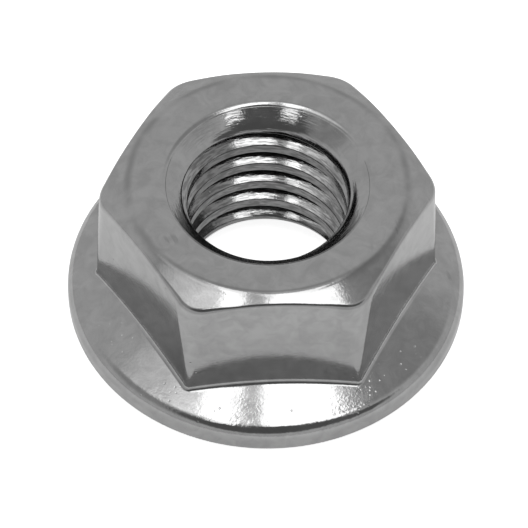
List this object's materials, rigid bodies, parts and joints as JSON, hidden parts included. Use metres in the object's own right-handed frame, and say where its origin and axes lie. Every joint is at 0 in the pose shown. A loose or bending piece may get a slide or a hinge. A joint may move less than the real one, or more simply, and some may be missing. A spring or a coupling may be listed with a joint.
{
  "type": "serrated flange nut",
  "caption": "Metric hexagon nut with a round built-in washer flange, ratchet serrations under the flange, chamfered top and a through thread countersunk at both ends.",
  "frame": {"origin": "centre of the bearing face, on the bore's axis, level with the lands of the serrations", "axes": "+Z along the bore's axis from the flange towards the hexagon's top, +X through a corner of the hexagon, -Y out of the flat that faces the front"},
  "size_m": [0.0174, 0.0174, 0.0078],
  "materials": {
    "plated_steel": "bright clear zinc plating on steel, lightly scuffed"
  },
  "bodies": {
    "root": {"flange_nut": "plated_steel"}
  },
  "joints": []
}
